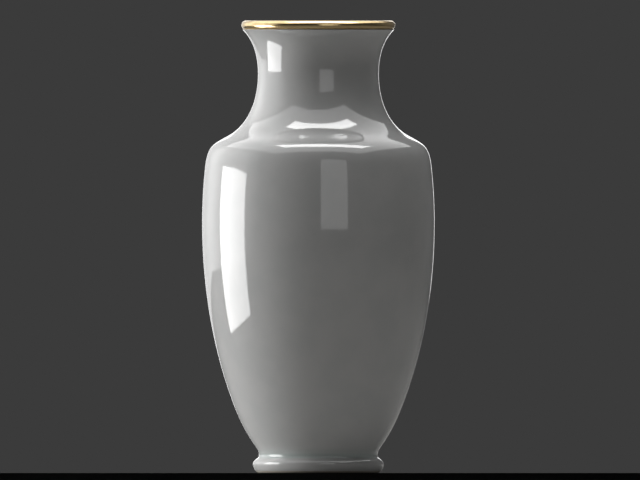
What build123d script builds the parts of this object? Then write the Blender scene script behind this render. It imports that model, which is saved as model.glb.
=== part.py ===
from build123d import *
from build123d.topology import SkipClean
import os

# A turned porcelain baluster vase, 300 mm tall, with a gilt bead set on its lip.
# Millimetres, +Z up, origin on the axis at the middle of the foot, standing on Z = 0.
# The porcelain is thrown in sections luted together with slip, glazed inside, outside
# and under the base, and left bare where it stands. Every piece is a section drawn in
# the XZ plane (radius, height) and turned about the Z axis.

# ---- overall and silhouette: radius and height where the outer line passes ---------
overall_height = 300.0
lip_radius = 50.4
lip_lean = 47.0            # the lip flares outward, degrees from upright
waist_radius, waist_height = 40.0, overall_height - 36.5       # the narrowest place of the neck
belly_radius, belly_height = 77.0, 164.1       # the widest place of the body
collar_radius, collar_height = 39.4, 12.3      # the short upright collar over the foot

# where the line passes between those: the neck sweeping out, the shoulder turning down,
# the upper body, the flank, the taper, and the flare down to the collar
throat_radius, throat_height = waist_radius + 17.9, waist_height - 38.8
turn_radius, turn_height = belly_radius - 6.2, waist_height - 47.3
shoulder_radius, shoulder_height = belly_radius - 1.8, waist_height - 62.5
flank_radius, flank_height = belly_radius - 5.9, 99.9
taper_radius, taper_height = belly_radius - 20.4, 46.8
flare_radius, flare_height = collar_radius + 3.0, collar_height + 6.4

# ---- foot ------------------------------------------------------------------------
bead_corner_height = collar_height - 1.7       # the crease between the collar and the foot bead
foot_radius = collar_radius + 3.95             # the outside of the foot bead
foot_mid_height = 5.8                          # height of the widest place of the foot bead
bead_spread, bead_sink = 0.45, 0.27            # how the bead's top leaves the crease, and how
bead_hang = 0.42                               # late it turns down, as shares of its size
contact_radius = collar_radius - 0.9           # outer edge of the flat the vase stands on
recess_radius = collar_radius - 5.5            # the hollow under the base, near the table
recess_top_radius = recess_radius - 1.2        # and at its ceiling
foot_inner_round = 1.3
cove = 1.5                                     # glaze pools in the corner of the hollow
glaze_line = 1.2                               # the glaze is wiped off below this height

# ---- wall ------------------------------------------------------------------------
clay = 3.6                 # thickness of the fired porcelain wall
glaze = 0.35               # thickness of each coat of glaze
wall = clay + 2 * glaze
floor_thickness = 6.0      # clay floor over the foot joint
# where the inside turns into the floor, as shares of the radius and height it has left
floor_turn = [(0.80, 0.20), (0.50, 0.02), (0.0, 0.0)]
slip = 0.8                 # height of each luting layer
half_slip = slip / 2
neck_joint = throat_height - 0.7               # heights of the luted joints
belly_joint = belly_height
foot_joint = collar_height - 0.3
ceiling = foot_joint + half_slip               # the underside of the floor
floor_height = ceiling + floor_thickness

# ---- gilt bead on the lip ------------------------------------------------------------
bead_diameter = 6.0
lip_wall = 0.484 * bead_diameter               # the whole wall, thinned here to suit the bead
cement = 0.3                                   # bedding round the spigot and under the bead
bead_filed = 0.4                               # how much of the round bar is filed flat below
spigot_width = 0.27 * bead_diameter            # bare porcelain rib on the lip, inside the bead
spigot_height = 0.52 * bead_diameter
spigot_root = 0.5                              # how far the rib's drawing runs into the wall

bead_r = bead_diameter / 2
bead_height = overall_height - bead_r          # centre of the bead's round section
bead_radius = lip_radius - 0.8 * bead_r
bead_flat = overall_height - bead_diameter + bead_filed
seat_height = bead_flat - cement               # top of the lip, where the bead is bedded

QUARTER = 0.5523           # handle share that bends a curve through a quarter of an ellipse
PATCHES = 14               # short lines that each long line of the wall is drawn in
STATIONS = 40              # steps along the outer line that the inner line is laid off from
DOWN = Vector(0, 0, -1)
lip_run = DOWN.rotate(Axis.Y, lip_lean)        # direction of the wall at the lip, downwards


def at(radius, height):
    """A point of the section."""
    return Vector(radius, 0, height)


def filled(*edges):
    """The flat face inside a closed run of edges."""
    return Face(Wire(list(edges)))


def block(r0, r1, z0, z1):
    """A rectangle of the section."""
    return filled(*Polyline(at(r0, z0), at(r0, z1), at(r1, z1), at(r1, z0), close=True).edges())


def between(face, z0, z1):
    """The part of a section that lies between two heights."""
    return face & block(0, 3 * belly_radius, z0, z1)


def beside(curve, share, depth):
    """The point at a share of a downward curve, moved into the wall by a depth."""
    p, d = curve.position_at(share), curve.tangent_at(share)
    return at(p.X + depth * d.Z, p.Z - depth * d.X)


def smooth(points, start, end):
    """One line through all the points, curving evenly, with its two end directions."""
    return Edge.make_spline(points, tangents=[start, end], scale=False)


def split(curve, count):
    """A long line as a run of short ones, so each turned face is a plain patch."""
    return [curve.trim(i / count, (i + 1) / count) for i in range(count)]


def quarter(start, corner, end):
    """A corner rounded with a quarter of an ellipse."""
    return Edge.make_bezier(start, start + (corner - start) * QUARTER,
                            end + (corner - end) * QUARTER, end)


def parallel(curve, depth):
    """A short line that runs beside another at a depth into the wall."""
    points = [beside(curve, i / 6, depth) for i in range(7)]
    return smooth(points, curve.tangent_at(0), curve.tangent_at(1))


def foot_edges(inset, top):
    """Collar and foot bead from the point the wall ends at, inset from the glazed face."""
    collar_r, bead_max = collar_radius - inset, foot_radius - inset
    corner = at(collar_r, bead_corner_height - 0.6 * inset)
    drop, reach = corner.Z - foot_mid_height, bead_max - collar_r
    mid = at(bead_max, foot_mid_height)
    foot = at(contact_radius, 0)
    return [
        Edge.make_line(top, corner),
        Edge.make_bezier(corner, corner + at(bead_spread * reach, -bead_sink * drop),
                         mid + at(0, bead_hang * drop), mid),
        quarter(mid, at(bead_max, 0), foot),
        Edge.make_line(foot, at(0, 0)),
    ]


# ---- the four lines of the wall, from the lip down ---------------------------------
outer_line = smooth(
    [
        at(lip_radius, seat_height),
        at(waist_radius, waist_height),
        at(throat_radius, throat_height),
        at(turn_radius, turn_height),
        at(shoulder_radius, shoulder_height),
        at(belly_radius, belly_height),
        at(flank_radius, flank_height),
        at(taper_radius, taper_height),
        at(flare_radius, flare_height),
        at(collar_radius, collar_height),
    ],
    lip_run,
    DOWN,
)
outer_run = split(outer_line, PATCHES)
clay_run = [parallel(line, glaze) for line in outer_run]

# the inside follows the outside at the full wall, thinner at the lip, then turns into the floor
lip_inner_radius = lip_radius + lip_wall / lip_run.Z
wall_points = [beside(outer_line, i / STATIONS, wall) for i in range(3, STATIONS - 2)]
wall_foot = wall_points[-1]
room = wall_foot.Z - floor_height
inner_line = smooth(
    [at(lip_inner_radius, seat_height) - lip_run * lip_wall]
    + wall_points
    + [at(out * wall_foot.X, floor_height + up * room) for out, up in floor_turn],
    lip_run,
    Vector(-1, 0, 0),
)
inner_run = split(inner_line, PATCHES)
inner_clay_run = [parallel(line, -glaze) for line in inner_run]


def inside(run):
    """Everything between the axis and a run of lines that ends on the axis."""
    start, end = run[0].position_at(0), run[-1].position_at(1)
    crown = at(0, start.Z)
    return filled(Edge.make_line(crown, start), *run, Edge.make_line(end, crown))


# ---- filled outlines, each one inside the last ---------------------------------------
glazed_outline = inside(outer_run + foot_edges(0, outer_run[-1].position_at(1)))
clay_outline = inside(clay_run + foot_edges(glaze, clay_run[-1].position_at(1)))
clay_cavity = inside(inner_clay_run)
glazed_cavity = inside(inner_run)

# the hollow under the base, in clay and then with its coat of glaze
round_start, round_end = at(recess_radius + foot_inner_round, 0), at(recess_radius, foot_inner_round)
recess = filled(
    *Polyline(round_end, at(recess_top_radius, ceiling), at(0, ceiling), at(0, 0), round_start).edges(),
    quarter(round_start, at(recess_radius, 0), round_end),
)
cove_corner = at(recess_top_radius - glaze, ceiling - glaze)
cove_start, cove_end = cove_corner - at(0, cove), cove_corner - at(cove, 0)
glazed_recess = filled(
    *Polyline(cove_end, at(0, cove_corner.Z), at(0, 0), at(recess_radius - glaze, 0), cove_start).edges(),
    quarter(cove_start, cove_corner, cove_end),
)

# ---- the clay, cut into the sections it is thrown in -----------------------------------
body = clay_outline - clay_cavity - recess
spigot = block(bead_radius - spigot_width / 2, bead_radius + spigot_width / 2,
               seat_height - spigot_root, seat_height + spigot_height)
neck = between(body, neck_joint + half_slip, seat_height) + spigot
neck_slip = between(body, neck_joint - half_slip, neck_joint + half_slip)
shoulder = between(body, belly_joint + half_slip, neck_joint - half_slip)
belly_slip = between(body, belly_joint - half_slip, belly_joint + half_slip)
lower_body = between(body, foot_joint + half_slip, belly_joint - half_slip)
foot_slip = between(body, foot_joint - half_slip, foot_joint + half_slip)
foot_ring = between(body, 0, foot_joint - half_slip)

# ---- the three coats of glaze, stopping short of the table and of the bead's bedding -----
with SkipClean():                               # the thin coats keep their short patches
    outer_glaze = between(glazed_outline - clay_outline, glaze_line, seat_height)
    inner_glaze = between(clay_cavity - glazed_cavity, 0, seat_height)
    base_glaze = between(recess - glazed_recess, glaze_line, ceiling)

# ---- the gilt bead and its bedding --------------------------------------------------------
slot = block(bead_radius - spigot_width / 2 - cement, bead_radius + spigot_width / 2 + cement,
             bead_flat, seat_height + spigot_height + cement)
round_bar = Face(Wire([Edge.make_circle(bead_r, Plane(at(bead_radius, bead_height), z_dir=(0, 1, 0)))]))
rim_ring = between(round_bar, bead_flat, overall_height + 1) - slot
flat_half = (bead_r**2 - (bead_height - bead_flat) ** 2) ** 0.5
bed = block(bead_radius - flat_half, bead_radius + flat_half, seat_height, bead_flat)
rim_cement = (bed + slot) - spigot

pieces = {
    "rim_ring": rim_ring,
    "rim_cement": rim_cement,
    "neck": neck,
    "neck_slip": neck_slip,
    "shoulder": shoulder,
    "belly_slip": belly_slip,
    "lower_body": lower_body,
    "foot_slip": foot_slip,
    "foot_ring": foot_ring,
    "outer_glaze": outer_glaze,
    "inner_glaze": inner_glaze,
    "base_glaze": base_glaze,
}

os.makedirs("parts", exist_ok=True)
for name, section in pieces.items():
    turned = revolve(section.faces(), Axis.Z, clean=False)
    export_step(turned.solids()[0], f"parts/{name}.step")
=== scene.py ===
"""A porcelain baluster vase with a gilt bead on its lip.

The vase is turned about the Z axis and stands on Z = 0. Every length is in metres. A section is an
array of (radius, height) rows, and each visible piece is one closed section carried round the axis.
"""

import logging
from collections.abc import Callable
from dataclasses import dataclass, field
from enum import Enum
from math import cos, pi, radians, sin

import bpy
import numpy as np
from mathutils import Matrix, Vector


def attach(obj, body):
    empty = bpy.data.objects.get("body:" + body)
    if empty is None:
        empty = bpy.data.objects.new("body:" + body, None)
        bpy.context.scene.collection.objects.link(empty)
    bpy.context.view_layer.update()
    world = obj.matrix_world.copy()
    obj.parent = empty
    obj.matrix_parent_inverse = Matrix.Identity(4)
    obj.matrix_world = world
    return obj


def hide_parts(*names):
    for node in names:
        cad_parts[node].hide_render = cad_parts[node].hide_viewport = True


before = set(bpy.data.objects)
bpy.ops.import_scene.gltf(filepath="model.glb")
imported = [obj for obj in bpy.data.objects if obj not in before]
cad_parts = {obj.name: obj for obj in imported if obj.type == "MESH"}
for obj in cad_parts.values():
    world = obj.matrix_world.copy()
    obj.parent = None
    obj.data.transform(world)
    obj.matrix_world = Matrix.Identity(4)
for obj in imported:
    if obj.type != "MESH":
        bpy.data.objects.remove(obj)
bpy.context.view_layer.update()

LOG = logging.getLogger("vase")
MM = 0.001
Line = np.ndarray
Socket = bpy.types.NodeSocket


# ---- lines of the section ----------------------------------------------------------------


def leaning(degrees: float) -> Line:
    """Unit direction of a line that goes down while leaning outward by some degrees."""
    return np.array([sin(radians(degrees)), -cos(radians(degrees))])


def smooth_line(stations: Line, start: Line, end: Line, count: int) -> tuple[Line, Line]:
    """One evenly curving line through all the stations, and its direction at each point.

    Formula: a cubic between each two stations, measured by the straight distance between them. The
    directions at the stations are the ones that make the curvature meet, which is one linear
    equation per inner station, with the two end directions given.

    Args:
        stations: (n, 2) points that the line passes.
        start: unit direction at the first point.
        end: unit direction at the last point.
        count: how many points to return, evenly spaced in the distance measure.

    Returns:
        (count, 2) points and (count, 2) unit directions.
    """
    gaps = np.hypot(*np.diff(stations, axis=0).T)
    knots = np.concatenate([[0.0], np.cumsum(gaps)])
    size = len(stations)
    system = np.eye(size)
    inner = np.arange(1, size - 1)
    system[inner, inner - 1] = 1 / gaps[:-1]
    system[inner, inner] = 2 / gaps[:-1] + 2 / gaps[1:]
    system[inner, inner + 1] = 1 / gaps[1:]
    steps = np.diff(stations, axis=0) / gaps[:, None] ** 2
    right = np.vstack([start, 3 * (steps[:-1] + steps[1:]), end])
    runs = np.linalg.solve(system, right)
    where = np.linspace(0.0, knots[-1], count)
    piece = np.clip(np.searchsorted(knots, where, side="right") - 1, 0, size - 2)
    gap = gaps[piece][:, None]
    u = (where - knots[piece])[:, None] / gap
    a, b = stations[piece], stations[piece + 1]
    da, db = runs[piece] * gap, runs[piece + 1] * gap
    points = (
        (2 * u**3 - 3 * u**2 + 1) * a
        + (u**3 - 2 * u**2 + u) * da
        + (3 * u**2 - 2 * u**3) * b
        + (u**3 - u**2) * db
    )
    slopes = (
        (6 * u**2 - 6 * u) * (a - b)
        + (3 * u**2 - 4 * u + 1) * da
        + (3 * u**2 - 2 * u) * db
    )
    return points, slopes / np.hypot(*slopes.T)[:, None]


def beside(points: Line, slopes: Line, depth: float) -> Line:
    """Points moved square to a downward line, into the wall, by a depth."""
    return points + depth * np.column_stack([slopes[:, 1], -slopes[:, 0]])


def bezier(handles: list[tuple[float, float]], count: int) -> Line:
    """The Bezier curve of three or four handles: repeated straight mixing of neighbours."""
    u = np.linspace(0.0, 1.0, count)[:, None]
    rows = [np.array(h) + 0 * u for h in handles]
    while len(rows) > 1:
        rows = [(1 - u) * p + u * q for p, q in zip(rows[:-1], rows[1:])]
    return rows[0]


def arc(centre: tuple[float, float], radius: float, start: float, end: float, count: int) -> Line:
    """Part of a circle of the section, between two angles in degrees from outward."""
    turn = np.radians(np.linspace(start, end, count))
    return np.array(centre) + radius * np.column_stack([np.cos(turn), np.sin(turn)])


def chain(*lines: Line, tiny: float = 1e-7) -> Line:
    """Lines put end to end, with points that repeat the one before them dropped."""
    points = np.vstack(lines)
    moved = np.hypot(*np.diff(points, axis=0).T) > tiny
    return points[np.concatenate([[True], moved])]


def rounded(before: Line, after: Line, back: float, ahead: float, count: int = 10) -> Line:
    """Two lines that meet at a corner, joined by a curve tangent to both.

    Args:
        before: the line that ends at the corner.
        after: the line that starts there.
        back: how far before the corner the curve starts, along the line.
        ahead: how far after the corner it ends.
        count: points on the curve.

    Returns:
        The whole joined line.
    """
    corner = after[0]
    first = before[np.hypot(*(before - corner).T) > back]
    last = after[np.hypot(*(after - corner).T) > ahead]
    return chain(first, bezier([tuple(first[-1]), tuple(corner), tuple(last[0])], count), last)


# ---- meshes ------------------------------------------------------------------------------


def hollow_share(section: Line, width: float) -> Line:
    """How hollow the section is at each point, 0 on a flat or a crest and 1 in a tight hollow.

    Formula: the turn of the line within a window of the given width, as a share of half a right
    angle, counted only where it turns away from the wall.
    """
    steps = np.diff(section, axis=0)
    run = np.concatenate([[0.0], np.cumsum(np.hypot(*steps.T))])
    heading = np.unwrap(np.arctan2(steps[:, 1], steps[:, 0]))
    middle = (run[1:] + run[:-1]) / 2
    turn = np.interp(run - width, middle, heading) - np.interp(run + width, middle, heading)
    return np.clip(turn / (pi / 4), 0.0, 1.0)


@dataclass
class Turned:
    """A closed section carried round the Z axis.

    Formula: a point at radius r and height z goes to (r cos t, r sin t, z) for every angle t, and
    the radius and height may first be changed by a function of the height and the angle.
    """

    name: str
    section: Line
    around: int = 240
    pool_width: float = 1.6 * MM
    uneven: Callable[[Line, Line, Line], tuple[Line, Line]] | None = None

    def mesh(self) -> bpy.types.Mesh:
        """Builds the mesh, its map along and around the section, and the hollow attribute.

        Returns:
            The new mesh, with faces pointing outwards and its poles closed.
        """
        section = self.section
        poled = section[0, 0] < 1e-9
        loop = section if poled else np.vstack([section, section[:1]])
        area = np.sum(loop[:-1, 0] * loop[1:, 1] - loop[1:, 0] * loop[:-1, 1])
        if area < 0:
            section, loop = section[::-1], loop[::-1]
            if not poled:
                section = loop[:-1]
        rings = section[1:-1] if poled else section
        turn = np.arange(self.around) * (2 * pi / self.around)
        radius = np.repeat(rings[:, :1], self.around, axis=1)
        height = np.repeat(rings[:, 1:], self.around, axis=1)
        if self.uneven is not None:
            radius, height = self.uneven(radius, height, turn[None, :])
        grid = np.stack([radius * np.cos(turn), radius * np.sin(turn), height], axis=-1)
        points = grid.reshape(-1, 3)
        run = np.concatenate([[0.0], np.cumsum(np.hypot(*np.diff(loop, axis=0).T))])
        share = run / run[-1]
        low = np.arange(len(rings) - (1 if poled else 0))
        high = (low + 1) % len(rings)
        side = np.arange(self.around)
        after = (side + 1) % self.around
        n = self.around
        quads = np.stack(
            [
                low[:, None] * n + side,
                low[:, None] * n + after,
                high[:, None] * n + after,
                high[:, None] * n + side,
            ],
            axis=-1,
        ).reshape(-1, 4)
        offset = 1 if poled else 0
        v_low, v_high = share[low + offset], share[low + offset + 1]
        u_low, u_high = side / n, (side + 1) / n
        maps = np.empty((len(low), n, 4, 2))
        maps[..., 0, 0] = maps[..., 3, 0] = u_low
        maps[..., 1, 0] = maps[..., 2, 0] = u_high
        maps[..., 0, 1] = maps[..., 1, 1] = v_low[:, None]
        maps[..., 2, 1] = maps[..., 3, 1] = v_high[:, None]
        faces, uv = quads.tolist(), [maps.reshape(-1, 2)]
        hollow = hollow_share(rings, self.pool_width)
        along = np.repeat(hollow, n)
        if poled:
            first, last = len(points), len(points) + 1
            ends = np.array([[0, 0, section[0, 1]], [0, 0, section[-1, 1]]])
            points = np.vstack([points, ends])
            along = np.concatenate([along, [0.0, 0.0]])
            top = (len(rings) - 1) * n
            fans = [
                np.stack([side * 0 + first, after, side], axis=-1),
                np.stack([top + side, top + after, side * 0 + last], axis=-1),
            ]
            middle = (side + 0.5) / n
            fan_maps = [
                ((middle, 0.0), (u_high, share[1]), (u_low, share[1])),
                ((u_low, share[-2]), (u_high, share[-2]), (middle, 1.0)),
            ]
            for fan, corners in zip(fans, fan_maps):
                faces += fan.tolist()
                cells = [np.column_stack([u, side * 0 + v]) for u, v in corners]
                uv.append(np.stack(cells, axis=1).reshape(-1, 2))
        mesh = bpy.data.meshes.new(self.name)
        mesh.from_pydata(points.tolist(), [], faces)
        layer = mesh.uv_layers.new(name="OFBake")
        layer.data.foreach_set("uv", (0.002 + 0.996 * np.vstack(uv)).astype(np.float32).ravel())
        pool = mesh.attributes.new("hollow", "FLOAT", "POINT")
        pool.data.foreach_set("value", along.astype(np.float32))
        mesh.shade_smooth()
        mesh.update()
        return mesh


def place(turned: Turned, finish: bpy.types.Material, slot: str, *nodes: str) -> bpy.types.Object:
    """Makes a piece from a turned section, and says what it stands for.

    Args:
        turned: the section to carry round.
        finish: its material.
        slot: not used.
        nodes: the CAD nodes that the piece stands for.

    Returns:
        The piece, riding on the vase's one body.
    """
    piece = bpy.data.objects.new(turned.name, turned.mesh())
    piece.data.materials.append(finish)
    bpy.context.scene.collection.objects.link(piece)
    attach(piece, "root")
    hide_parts(*nodes)
    LOG.info("%s: %d faces, stands for %s", piece.name, len(piece.data.polygons), ", ".join(nodes))
    return piece


# ---- finishes ----------------------------------------------------------------------------


def linear(colour: str) -> tuple[float, float, float, float]:
    """An sRGB hex colour as linear red, green, blue and a full alpha."""
    parts = [int(colour[i : i + 2], 16) / 255 for i in (1, 3, 5)]
    return (*[c / 12.92 if c <= 0.04045 else ((c + 0.055) / 1.055) ** 2.4 for c in parts], 1.0)


def add(
    tree: bpy.types.NodeTree, kind: str, inputs: dict[str | int, object] | None = None, **settings: object
) -> bpy.types.Node:
    """Adds one node with its settings, its values and its links.

    Args:
        tree: the node tree.
        kind: the node's type name.
        inputs: socket name or number to a value, or to the output socket that feeds it.
        settings: the node's own properties.

    Returns:
        The node.
    """
    made = tree.nodes.new(kind)
    for name, value in settings.items():
        setattr(made, name, value)
    for key, value in (inputs or {}).items():
        if isinstance(value, bpy.types.NodeSocket):
            tree.links.new(value, made.inputs[key])
        else:
            made.inputs[key].default_value = value
    return made


def ramp(
    tree: bpy.types.NodeTree, value: Socket, low: float, high: float, to_low: float, to_high: float
) -> Socket:
    """A value's range low to high, eased into the range to_low to to_high."""
    node = add(
        tree,
        "ShaderNodeMapRange",
        {"Value": value, "From Min": low, "From Max": high, "To Min": to_low, "To Max": to_high},
        interpolation_type="SMOOTHSTEP",
    )
    return node.outputs["Result"]


def blended(tree: bpy.types.NodeTree, share: Socket | float, first: object, second: object) -> Socket:
    """Two colours mixed by a share."""
    node = add(tree, "ShaderNodeMix", data_type="RGBA")
    for key, value in ((0, share), (6, first), (7, second)):
        if isinstance(value, bpy.types.NodeSocket):
            tree.links.new(value, node.inputs[key])
        else:
            node.inputs[key].default_value = value
    return node.outputs[2]


def fresh(name: str) -> tuple[bpy.types.Material, bpy.types.NodeTree, bpy.types.Node, Socket]:
    """A new material with its tree, its Principled shader and the Object coordinates."""
    material = bpy.data.materials.new(name)
    material.use_nodes = True
    tree = material.node_tree
    shader = next(n for n in tree.nodes if n.type == "BSDF_PRINCIPLED")
    place_socket = add(tree, "ShaderNodeTexCoord").outputs["Object"]
    return material, tree, shader, place_socket


class Coat(Enum):
    """Which coat of glaze a piece carries."""

    OUTSIDE = "outside"
    INSIDE = "inside"
    UNDERSIDE = "underside"


@dataclass(frozen=True)
class FeldsparGlaze:
    """Clear feldspar glaze over white porcelain, dipped and fired.

    To the eye: a sharp mirror skin over a soft white depth, a breath of blue-green where the glaze
    has pooled in a hollow, and a surface that isn't quite flat, so that reflections swim a little.
    """

    body: str = "#EEEEED"
    shade: str = "#E9EAE9"
    pooled: str = "#D8E2DF"
    cloud_size: float = 22 * MM
    wave_size: float = 9 * MM
    wave_height: float = 0.006 * MM
    peel_size: float = 1.6 * MM
    peel_height: float = 0.0007 * MM

    def material(self, coat: Coat) -> bpy.types.Material:
        """The finish for one coat.

        Args:
            coat: outside, inside or underside, which differ in how even the dipping is.

        Returns:
            The material.
        """
        material, tree, shader, where = fresh(f"feldspar_glaze_{coat.value}")
        rough = 1.0 if coat is Coat.OUTSIDE else 1.8
        cloud = add(
            tree, "ShaderNodeTexNoise", {"Vector": where, "Scale": 1 / self.cloud_size, "Detail": 3.0}
        ).outputs["Fac"]
        tone = blended(tree, ramp(tree, cloud, 0.35, 0.68, 0.0, 1.0), linear(self.body), linear(self.shade))
        hollow = add(tree, "ShaderNodeAttribute", attribute_name="hollow").outputs["Fac"]
        tinted = blended(tree, ramp(tree, hollow, 0.05, 1.0, 0.0, 0.9), tone, linear(self.pooled))
        tree.links.new(tinted, shader.inputs["Base Color"])
        wave = add(
            tree, "ShaderNodeTexNoise", {"Vector": where, "Scale": 1 / self.wave_size, "Detail": 1.0}
        ).outputs["Fac"]
        peel = add(
            tree, "ShaderNodeTexNoise", {"Vector": where, "Scale": 1 / self.peel_size, "Detail": 2.0}
        ).outputs["Fac"]
        swell = add(
            tree,
            "ShaderNodeBump",
            {"Height": wave, "Distance": self.wave_height * rough, "Strength": 1.0},
        ).outputs["Normal"]
        skin = add(
            tree,
            "ShaderNodeBump",
            {"Height": peel, "Distance": self.peel_height * rough, "Strength": 1.0, "Normal": swell},
        ).outputs["Normal"]
        tree.links.new(skin, shader.inputs["Normal"])
        tree.links.new(skin, shader.inputs["Coat Normal"])
        tree.links.new(ramp(tree, cloud, 0.3, 0.7, 0.05, 0.09), shader.inputs["Roughness"])
        shader.inputs["IOR"].default_value = 1.52
        shader.inputs["Coat Weight"].default_value = 0.6
        shader.inputs["Coat Roughness"].default_value = 0.02
        shader.inputs["Coat IOR"].default_value = 1.5
        return material


@dataclass(frozen=True)
class Bisque:
    """Fired porcelain with no glaze, wiped clean with a sponge and ground on the wheel.

    To the eye: a dry, fine-grained white, toasted a little where the glaze ends.
    """

    name: str = "porcelain_bisque"
    body: str = "#E3DDD0"
    toasted: str = "#D6CBBA"
    speck: str = "#B9AFA0"
    grain: float = 0.5 * MM
    patch_size: float = 14 * MM

    def material(self) -> bpy.types.Material:
        """The finish."""
        material, tree, shader, where = fresh(self.name)
        speck = add(
            tree, "ShaderNodeTexNoise", {"Vector": where, "Scale": 1 / self.grain, "Detail": 4.0}
        ).outputs["Fac"]
        patch = add(
            tree, "ShaderNodeTexNoise", {"Vector": where, "Scale": 1 / self.patch_size, "Detail": 3.0}
        ).outputs["Fac"]
        height = add(tree, "ShaderNodeSeparateXYZ", {0: where}).outputs["Z"]
        edge = ramp(tree, height, 0.2 * MM, 1.4 * MM, 0.0, 0.7)
        warm = add(tree, "ShaderNodeMath", {0: edge, 1: ramp(tree, patch, 0.3, 0.7, 0.5, 1.0)},
                   operation="MULTIPLY").outputs[0]
        tone = blended(tree, warm, linear(self.body), linear(self.toasted))
        fine = blended(tree, ramp(tree, speck, 0.35, 0.75, 0.0, 0.35), tone, linear(self.speck))
        tree.links.new(fine, shader.inputs["Base Color"])
        tree.links.new(
            add(tree, "ShaderNodeBump", {"Height": speck, "Distance": 0.03 * MM}).outputs["Normal"],
            shader.inputs["Normal"],
        )
        tree.links.new(ramp(tree, patch, 0.3, 0.7, 0.62, 0.78), shader.inputs["Roughness"])
        shader.inputs["IOR"].default_value = 1.5
        return material


@dataclass(frozen=True)
class GiltBrass:
    """Fire-gilt brass, turned, then burnished with an agate.

    To the eye: a warm yellow mirror drawn out round the ring by fine burnishing strokes, a little
    rubbed and browner in scattered patches.
    """

    gold: str = "#E6CD9B"
    rubbed: str = "#C9A777"
    strokes_per_turn: float = 60.0
    strokes_across: float = 900.0
    patch_size: float = 9 * MM

    def material(self) -> bpy.types.Material:
        """The finish."""
        material, tree, shader, where = fresh("fire_gilt_brass")
        around = add(tree, "ShaderNodeUVMap", uv_map="OFBake").outputs["UV"]
        stroke_scale = (self.strokes_per_turn, self.strokes_across, 1.0)
        drawn = add(tree, "ShaderNodeMapping", {"Vector": around, "Scale": stroke_scale})
        strokes = add(
            tree, "ShaderNodeTexNoise", {"Vector": drawn.outputs[0], "Scale": 1.0, "Detail": 3.0}
        ).outputs["Fac"]
        patch = add(
            tree, "ShaderNodeTexNoise", {"Vector": where, "Scale": 1 / self.patch_size, "Detail": 4.0}
        ).outputs["Fac"]
        worn = ramp(tree, patch, 0.42, 0.72, 0.0, 0.55)
        tree.links.new(blended(tree, worn, linear(self.gold), linear(self.rubbed)),
                       shader.inputs["Base Color"])
        tree.links.new(
            add(tree, "ShaderNodeBump", {"Height": strokes, "Distance": 0.004 * MM}).outputs["Normal"],
            shader.inputs["Normal"],
        )
        tree.links.new(ramp(tree, patch, 0.3, 0.75, 0.12, 0.26), shader.inputs["Roughness"])
        shader.inputs["Metallic"].default_value = 1.0
        return material


@dataclass(frozen=True)
class Bedding:
    """Fine plaster cement, or fired slip: matte, slightly gritty, off-white."""

    name: str
    body: str
    fleck: str = "#8C8373"
    grit: float = 0.25 * MM

    def material(self) -> bpy.types.Material:
        """The finish."""
        material, tree, shader, where = fresh(self.name)
        speck = add(
            tree, "ShaderNodeTexNoise", {"Vector": where, "Scale": 1 / self.grit, "Detail": 3.0}
        ).outputs["Fac"]
        tone = blended(tree, ramp(tree, speck, 0.3, 0.7, 0.0, 0.6), linear(self.body), linear(self.fleck))
        tree.links.new(tone, shader.inputs["Base Color"])
        tree.links.new(
            add(tree, "ShaderNodeBump", {"Height": speck, "Distance": 0.02 * MM}).outputs["Normal"],
            shader.inputs["Normal"],
        )
        shader.inputs["Roughness"].default_value = 0.85
        return material


# ---- the vase ----------------------------------------------------------------------------


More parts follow.
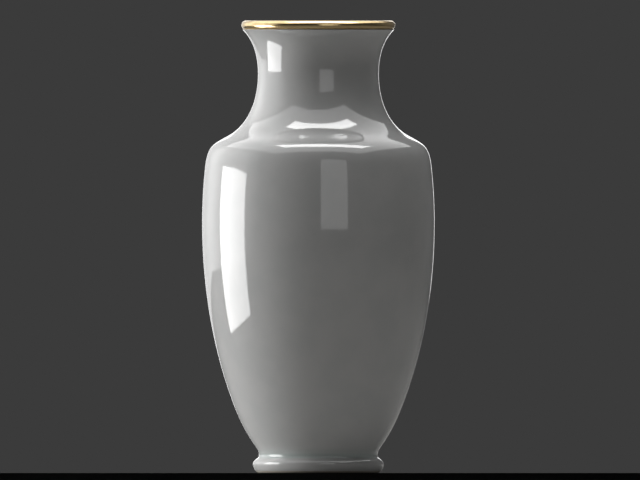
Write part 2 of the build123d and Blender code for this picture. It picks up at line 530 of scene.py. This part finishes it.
@dataclass
class Porcelain:
    """The thrown and luted body with its three coats of glaze, the foot and its bare ring."""

    lip_radius: float = 50.4 * MM
    lip_lean: float = -47.0
    waist: tuple[float, float] = (40.0 * MM, 263.5 * MM)
    belly: tuple[float, float] = (77.0 * MM, 164.1 * MM)
    collar: tuple[float, float] = (39.4 * MM, 12.3 * MM)
    clay: float = 3.6 * MM
    glaze: float = 0.35 * MM
    seat: float = 294.1 * MM
    floor: float = 18.4 * MM
    flank_height: float = 99.9 * MM
    taper_height: float = 46.8 * MM
    lip_wall: float = 2.9025 * MM
    ceiling: float = 12.4 * MM
    glaze_line: float = 1.2 * MM
    corner: float = 10.6 * MM
    foot_radius: float = 43.35 * MM
    bead_spread: float = 0.45
    bead_sink: float = 0.27
    bead_hang: float = 0.42
    foot_middle: float = 5.8 * MM
    contact_radius: float = 38.5 * MM
    recess_radius: float = 33.9 * MM
    recess_top: float = 32.7 * MM
    foot_round: float = 1.3 * MM
    cove: float = 1.5 * MM
    joints: tuple[float, float] = (224.0 * MM, 164.1 * MM)
    ridge_height: float = 0.25 * MM
    ridge_reach: float = 2.2 * MM
    ring_depth: float = 0.05 * MM
    ring_pitch: float = 6.2 * MM
    drift_pitch: float = 15 * MM

    @property
    def wall(self) -> float:
        """The whole wall: clay and a coat of glaze on each side."""
        return self.clay + 2 * self.glaze

    def stations(self) -> Line:
        """The points that the outer line passes, from the lip down."""
        waist_r, waist_z = self.waist
        belly_r, belly_z = self.belly
        collar_r, collar_z = self.collar
        return np.array(
            [
                (self.lip_radius, self.seat),
                (waist_r, waist_z),
                (waist_r + 17.9 * MM, waist_z - 38.8 * MM),
                (belly_r - 6.2 * MM, waist_z - 47.3 * MM),
                (belly_r - 1.8 * MM, waist_z - 62.5 * MM),
                (belly_r, belly_z),
                (belly_r - 5.9 * MM, self.flank_height),
                (belly_r - 20.4 * MM, self.taper_height),
                (collar_r + 3.0 * MM, collar_z + 6.4 * MM),
                (collar_r, collar_z),
            ]
        )

    def outer_line(self, count: int) -> tuple[Line, Line]:
        """The outer line of the wall and its directions, from the lip down to the collar."""
        return smooth_line(self.stations(), leaning(self.lip_lean), leaning(0.0), count)

    def foot_line(self, inset: float) -> tuple[Line, Line]:
        """The collar, and the foot bead down to the table, inset from the glazed face.

        Formula: an upright line, then a Bezier that leaves the crease sideways and arrives upright
        at the widest place, then a Bezier that is a quarter of an ellipse down to the table.
        """
        r, corner_z = self.collar[0] - inset, self.corner - 0.6 * inset
        widest = self.foot_radius - inset
        reach, drop = widest - r, corner_z - self.foot_middle
        middle, round_out = self.foot_middle, widest - self.contact_radius
        upright = bezier([(r, self.collar[1]), (r, (self.collar[1] + corner_z) / 2), (r, corner_z)], 8)
        upper = bezier(
            [
                (r, corner_z),
                (r + self.bead_spread * reach, corner_z - self.bead_sink * drop),
                (widest, middle + self.bead_hang * drop),
                (widest, middle),
            ],
            26,
        )
        lower = bezier(
            [
                (widest, middle),
                (widest, middle * (1 - 0.5523)),
                (self.contact_radius + 0.5523 * round_out, 0.0),
                (self.contact_radius, 0.0),
            ],
            26,
        )
        return upright, chain(upper, lower)

    def outer_coat(self) -> Line:
        """The closed section of the outer glaze, rounded at the lip, pooled in the crease."""
        points, _ = self.outer_line(280)
        clay = beside(*self.outer_line(110), self.glaze)
        clay_lip = np.array([[np.interp(-self.seat, -clay[:, 1], clay[:, 0]), self.seat]])
        lip_top = np.linspace(clay_lip[0], points[0], 12)
        wall = rounded(lip_top, points, 0.42 * MM, 0.55 * MM, 14)
        upright, bead = self.foot_line(0.0)
        foot = rounded(upright, bead, 0.7 * MM, 0.9 * MM, 12)
        outside = chain(wall, foot)
        outside = outside[outside[:, 1] > self.glaze_line + 0.25 * MM]
        clay_upright, clay_bead = self.foot_line(self.glaze)
        clay_line = chain(clay[clay[:, 1] < self.seat], clay_upright, clay_bead)
        clay_line = clay_line[clay_line[:, 1] > self.glaze_line]
        edge = bezier(
            [
                tuple(outside[-1]),
                (outside[-1, 0] - 0.12 * MM, self.glaze_line + 0.02 * MM),
                tuple(clay_line[-1]),
            ],
            8,
        )
        return chain(outside, edge, clay_line[::-1])

    def inner_line(self, count: int) -> tuple[Line, Line]:
        """The inside of the wall: beside the outer line, thinner at the lip, then the floor."""
        points, slopes = self.outer_line(41)
        lip_run = leaning(self.lip_lean)
        lip = np.array([self.lip_radius + self.lip_wall / lip_run[1], self.seat]) - lip_run * self.lip_wall
        wall = beside(points, slopes, self.wall)[3:38]
        room = wall[-1, 1] - self.floor
        turn = [
            (0.80 * wall[-1, 0], self.floor + 0.20 * room),
            (0.50 * wall[-1, 0], self.floor + 0.02 * room),
            (0.0, self.floor),
        ]
        return smooth_line(np.vstack([lip, wall, turn]), lip_run, leaning(-90.0), count)

    def inner_coat(self) -> Line:
        """The closed section of the inner glaze, pole to pole, with the luted joints' ridges.

        Formula: at each luted joint the clay was smoothed by hand, which leaves a low ridge: a bell
        curve 0.25 mm high, about 4 mm wide at half its height.
        """
        points, slopes = self.inner_line(400)
        clay = beside(*self.inner_line(110), -self.glaze)
        ridge = sum(np.exp(-(((points[:, 1] - z) / self.ridge_reach) ** 2)) for z in self.joints)
        skin = beside(points, slopes, self.ridge_height)
        face = points + (skin - points) * ridge[:, None]
        face, clay = face[face[:, 1] < self.seat], clay[clay[:, 1] < self.seat]
        face[-1, 0] = clay[-1, 0] = 0.0
        face_lip = np.array([face[0] + (face[0] - face[1]) * 0.2])
        face_lip[0, 1] = self.seat
        top = np.linspace((clay[0, 0], self.seat), face_lip[0], 16)
        wall = rounded(top, chain(face_lip, face), 0.3 * MM, 0.5 * MM, 10)
        return chain(wall[::-1], clay)

    def throwing_rings(self, radius: Line, height: Line, turn: Line) -> tuple[Line, Line]:
        """The thrower's finger leaves a faint screw thread inside.

        Formula: the radius gains depth * (sin(2 pi z / pitch + t) + 0.4 sin(2 pi z / drift - t)) at
        height z and angle t, so that one ring runs into the next. It fades towards lip and axis.
        """
        fade = np.clip((0.262 - height) / 0.03, 0, 1) * np.clip(radius / 0.02, 0, 1)
        wave = np.sin(2 * pi * height / self.ring_pitch + turn)
        wave = wave + 0.4 * np.sin(2 * pi * height / self.drift_pitch - turn)
        return radius + self.ring_depth * fade * wave, height

    def base_coat(self) -> Line:
        """The closed section of the glaze in the hollow under the base, pole to pole."""
        g, top, cove = self.glaze, self.ceiling, self.cove
        r = self.recess_top - g
        slant = np.linspace((self.recess_radius - g, self.glaze_line), (r, top - g - cove), 10)
        curve = bezier([(r, top - g - cove), (r, top - g - 0.45 * cove),
                        (r - 0.55 * cove, top - g), (r - cove, top - g)], 12)
        ceiling = np.linspace((r - cove, top - g), (0.0, top - g), 30)
        upper = np.linspace((0.0, top), (self.recess_top, top), 30)
        side = np.linspace((self.recess_top, top), (self.recess_radius, self.glaze_line), 12)
        return chain(ceiling[::-1], curve[::-1], slant[::-1], side[::-1], upper[::-1])

    def bare_foot(self) -> Line:
        """The closed section of the foot's clay, from the luted joint to the ring it stands on."""
        top = self.collar[1] - 0.7 * MM
        upright, bead = self.foot_line(self.glaze)
        outside = chain(upright[upright[:, 1] < top], bead)
        start = np.array([[outside[0, 0], top]])
        inner_edge = self.recess_radius + self.foot_round
        flat = np.linspace((self.contact_radius, 0.0), (inner_edge, 0.0), 8)
        turn = bezier([(inner_edge, 0.0), (self.recess_radius + 0.45 * self.foot_round, 0.0),
                       (self.recess_radius, 0.45 * self.foot_round),
                       (self.recess_radius, self.foot_round)], 10)
        slope = (self.recess_radius - self.recess_top) / (self.ceiling - self.foot_round)
        inner_top = self.recess_radius - slope * (top - self.foot_round)
        side = np.linspace((self.recess_radius, self.foot_round), (inner_top, top), 10)
        return chain(start, outside, flat, turn, side)

    def build(self) -> None:
        """Makes the coats and the foot, and dresses the clay sections inside them."""
        glaze, bisque = FeldsparGlaze(), Bisque().material()
        place(Turned("outer_glaze_coat", self.outer_coat(), 160), glaze.material(Coat.OUTSIDE),
              "clear_glaze", "outer_glaze")
        place(Turned("inner_glaze_coat", self.inner_coat(), 120, uneven=self.throwing_rings),
              glaze.material(Coat.INSIDE), "clear_glaze", "inner_glaze")
        place(Turned("base_glaze_coat", self.base_coat(), 160), glaze.material(Coat.UNDERSIDE),
              "clear_glaze", "base_glaze")
        place(Turned("bare_foot_ring", self.bare_foot(), 240), bisque, "porcelain_bisque", "foot_ring")
        slip = Bedding("luting_slip", "#D9D3C6").material()
        for name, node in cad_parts.items():
            if name in ("neck", "shoulder", "lower_body"):
                dress(node, bisque)
            elif name.endswith("_slip"):
                dress(node, slip)


def dress(node: bpy.types.Object, finish: bpy.types.Material) -> None:
    """Puts a finish on a CAD node."""
    for part in node.material_slots:
        part.material = finish
    LOG.info("%s keeps its CAD shape, in %s", node.name, finish.name)


@dataclass
class RimMount:
    """The gilt bead bedded on the lip."""

    bead: float = 6.0 * MM
    radius: float = 48.0 * MM
    height: float = 300 * MM
    filed: float = 0.4 * MM
    cement: float = 0.3 * MM

    def section(self) -> Line:
        """A round bar, filed flat below, with the slot that the lip's rib enters."""
        half = self.bead / 2
        centre = (self.radius, self.height - half)
        flat = self.height - self.bead + self.filed
        dip = np.degrees(np.arcsin((flat - centre[1]) / half))
        round_bar = arc(centre, half, dip, 180 - dip, 96)
        slot_half = 0.27 * self.bead / 2 + self.cement
        slot_top = flat - self.cement + 0.52 * self.bead + self.cement
        slot = np.array(
            [
                (self.radius - slot_half, flat),
                (self.radius - slot_half, slot_top),
                (self.radius + slot_half, slot_top),
                (self.radius + slot_half, flat),
            ]
        )
        return chain(round_bar, slot)

    def build(self) -> None:
        """Makes the bead and dresses its bedding."""
        place(Turned("gilt_bead", self.section(), 320), GiltBrass().material(), "gilt_metal", "rim_ring")
        dress(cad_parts["rim_cement"], Bedding("bedding_plaster", "#CFC7B4").material())


# ---- the studio --------------------------------------------------------------------------


@dataclass
class Softbox:
    """A rectangle of even light that faces a point.

    Its mirror image and its light on matte surfaces are set apart, as a retoucher does with two
    exposures.

    Args:
        name: its name.
        at: where it stands.
        aim: the point it faces.
        size: its width and height.
        shine: how bright its mirror image is, as radiance.
        light: how bright it is to matte surfaces, as radiance.
    """

    name: str
    at: tuple[float, float, float]
    aim: tuple[float, float, float]
    size: tuple[float, float]
    shine: float = 0.0
    light: float = 0.0

    def lamp(self, part: str, glow: float) -> bpy.types.Object:
        """Makes one lamp of a radiance, hidden from the camera."""
        data = bpy.data.lights.new(f"{self.name}_{part}", "AREA")
        data.shape = "RECTANGLE"
        data.size, data.size_y = self.size
        data.energy = glow * self.size[0] * self.size[1] * pi
        made = bpy.data.objects.new(data.name, data)
        bpy.context.scene.collection.objects.link(made)
        made.location = self.at
        made.rotation_euler = (Vector(self.aim) - Vector(self.at)).to_track_quat("-Z", "Y").to_euler()
        made.visible_camera = False
        return made

    def build(self) -> None:
        """Makes a lamp for the mirror image and a lamp for the matte light."""
        if self.shine:
            self.lamp("shine", self.shine).visible_diffuse = False
        if self.light:
            self.lamp("light", self.light).visible_glossy = False


@dataclass(frozen=True)
class Glow:
    """A soft lighter patch on the walls of the room, seen from the vase.

    Args:
        azimuth: degrees from the camera's side, positive to the right.
        elevation: degrees above the table.
        reach: degrees from the middle of the patch to where it has faded out.
        radiance: how bright its middle is.
    """

    azimuth: float
    elevation: float
    reach: float
    radiance: float

    def direction(self) -> tuple[float, float, float]:
        """Unit vector to the middle of the patch."""
        around, up = radians(self.azimuth), radians(self.elevation)
        return (cos(up) * sin(around), -cos(up) * cos(around), sin(up))


@dataclass
class Studio:
    """Dim grey room, pale table, soft lights and the camera."""

    room: str = "#3B3B3B"
    table: str = "#A9A8A6"
    table_cloud: str = "#9E9D9B"
    table_size: float = 3.0
    view_width: float = 424.4 * MM
    view_height: float = 154.5 * MM
    view_side: float = 1.1 * MM
    lights: list[Softbox] = field(
        default_factory=lambda: [
            Softbox("left_card", (-0.42, 0.0, 0.129), (0.0, 0.0, 0.129), (0.262, 0.250), shine=5.5),
            Softbox("left_fill", (-1.48, 0.20, 0.15), (0.0, 0.0, 0.15), (0.6, 0.6), light=8.2),
            Softbox("overhead", (0.07, -0.07, 1.0), (0.07, -0.07, 0.0), (0.84, 0.28), shine=7.0),
            Softbox("top_fill", (0.0, -0.15, 1.2), (0.0, 0.0, 0.2), (0.5, 0.5), light=3.6),
            Softbox("ceiling", (0.0, 0.25, 1.3), (0.0, 0.25, 0.0), (2.4, 2.5), shine=1.3),
            Softbox("front_window", (0.45, -1.5, 0.475), (0.45, 0.0, 0.475), (0.77, 0.69), shine=0.88),
            Softbox("rim_left", (-0.10, 0.80, 0.25), (-0.10, 0.0, 0.25), (0.14, 0.6), shine=0.9),
            Softbox("rim_right", (0.10, 0.80, 0.33), (0.10, 0.0, 0.33), (0.14, 0.44), shine=1.5),
        ]
    )
    glows: list[Glow] = field(
        default_factory=lambda: [
            Glow(azimuth=-108, elevation=12, reach=48, radiance=1.25),
            Glow(azimuth=-155, elevation=10, reach=40, radiance=0.75),
            Glow(azimuth=140, elevation=22, reach=45, radiance=0.08),
        ]
    )

    def build(self) -> None:
        """Makes the room, the table, the lights and the camera."""
        scene = bpy.context.scene
        scene.view_settings.view_transform = "Standard"
        scene.world = self.walls()
        for light in self.lights:
            light.build()
        self.stage_table()
        lens = bpy.data.cameras.new("camera")
        lens.type = "ORTHO"
        lens.ortho_scale = self.view_width
        camera = bpy.data.objects.new("camera", lens)
        scene.collection.objects.link(camera)
        camera.location = (self.view_side, -1.4, self.view_height)
        camera.rotation_euler = (pi / 2, 0.0, 0.0)
        scene.camera = camera

    def walls(self) -> bpy.types.World:
        """The room: an even backdrop to the camera, with soft lighter patches for everything else.

        Returns:
            The world.
        """
        world = bpy.data.worlds.new("room")
        world.use_nodes = True
        tree = world.node_tree
        toward = add(tree, "ShaderNodeTexCoord").outputs["Generated"]
        total = linear(self.room)[0]
        for glow in self.glows:
            facing = add(
                tree, "ShaderNodeVectorMath", {0: toward, 1: glow.direction()}, operation="DOT_PRODUCT"
            ).outputs["Value"]
            patch = ramp(tree, facing, cos(radians(glow.reach)), 1.0, 0.0, glow.radiance)
            total = add(tree, "ShaderNodeMath", {0: total, 1: patch}, operation="ADD").outputs[0]
        lit = add(tree, "ShaderNodeBackground", {"Color": (1.0, 1.0, 1.0, 1.0), "Strength": total})
        backdrop = tree.nodes["Background"]
        backdrop.inputs["Color"].default_value = linear(self.room)
        seen = add(tree, "ShaderNodeLightPath").outputs["Is Camera Ray"]
        both = add(tree, "ShaderNodeMixShader", {0: seen, 1: lit.outputs[0], 2: backdrop.outputs[0]})
        tree.links.new(both.outputs[0], tree.nodes["World Output"].inputs["Surface"])
        return world

    def stage_table(self) -> None:
        """A thin pale slab whose top is at Z = 0."""
        half, thick = self.table_size / 2, 0.03
        x, y, z = np.meshgrid((-half, half), (-half, half), (-thick, 0.0), indexing="ij")
        corners = np.stack([x, y, z], axis=-1).reshape(-1, 3)
        faces = [(0, 1, 3, 2), (4, 6, 7, 5), (0, 4, 5, 1), (2, 3, 7, 6), (0, 2, 6, 4), (1, 5, 7, 3)]
        mesh = bpy.data.meshes.new("table")
        mesh.from_pydata(corners.tolist(), [], faces)
        material, tree, shader, where = fresh("pale_paper_table")
        cloud = add(tree, "ShaderNodeTexNoise", {"Vector": where, "Scale": 6.0}).outputs["Fac"]
        share = ramp(tree, cloud, 0.3, 0.7, 0.0, 0.3)
        tone = blended(tree, share, linear(self.table), linear(self.table_cloud))
        tree.links.new(tone, shader.inputs["Base Color"])
        shader.inputs["Roughness"].default_value = 0.9
        mesh.materials.append(material)
        table = bpy.data.objects.new("table", mesh)
        bpy.context.scene.collection.objects.link(table)


def main() -> None:
    """Builds the vase and the studio."""
    logging.basicConfig(level=logging.INFO, format="%(name)s: %(message)s")
    Porcelain().build()
    RimMount().build()
    Studio().build()


if __name__ == "__main__":
    main()
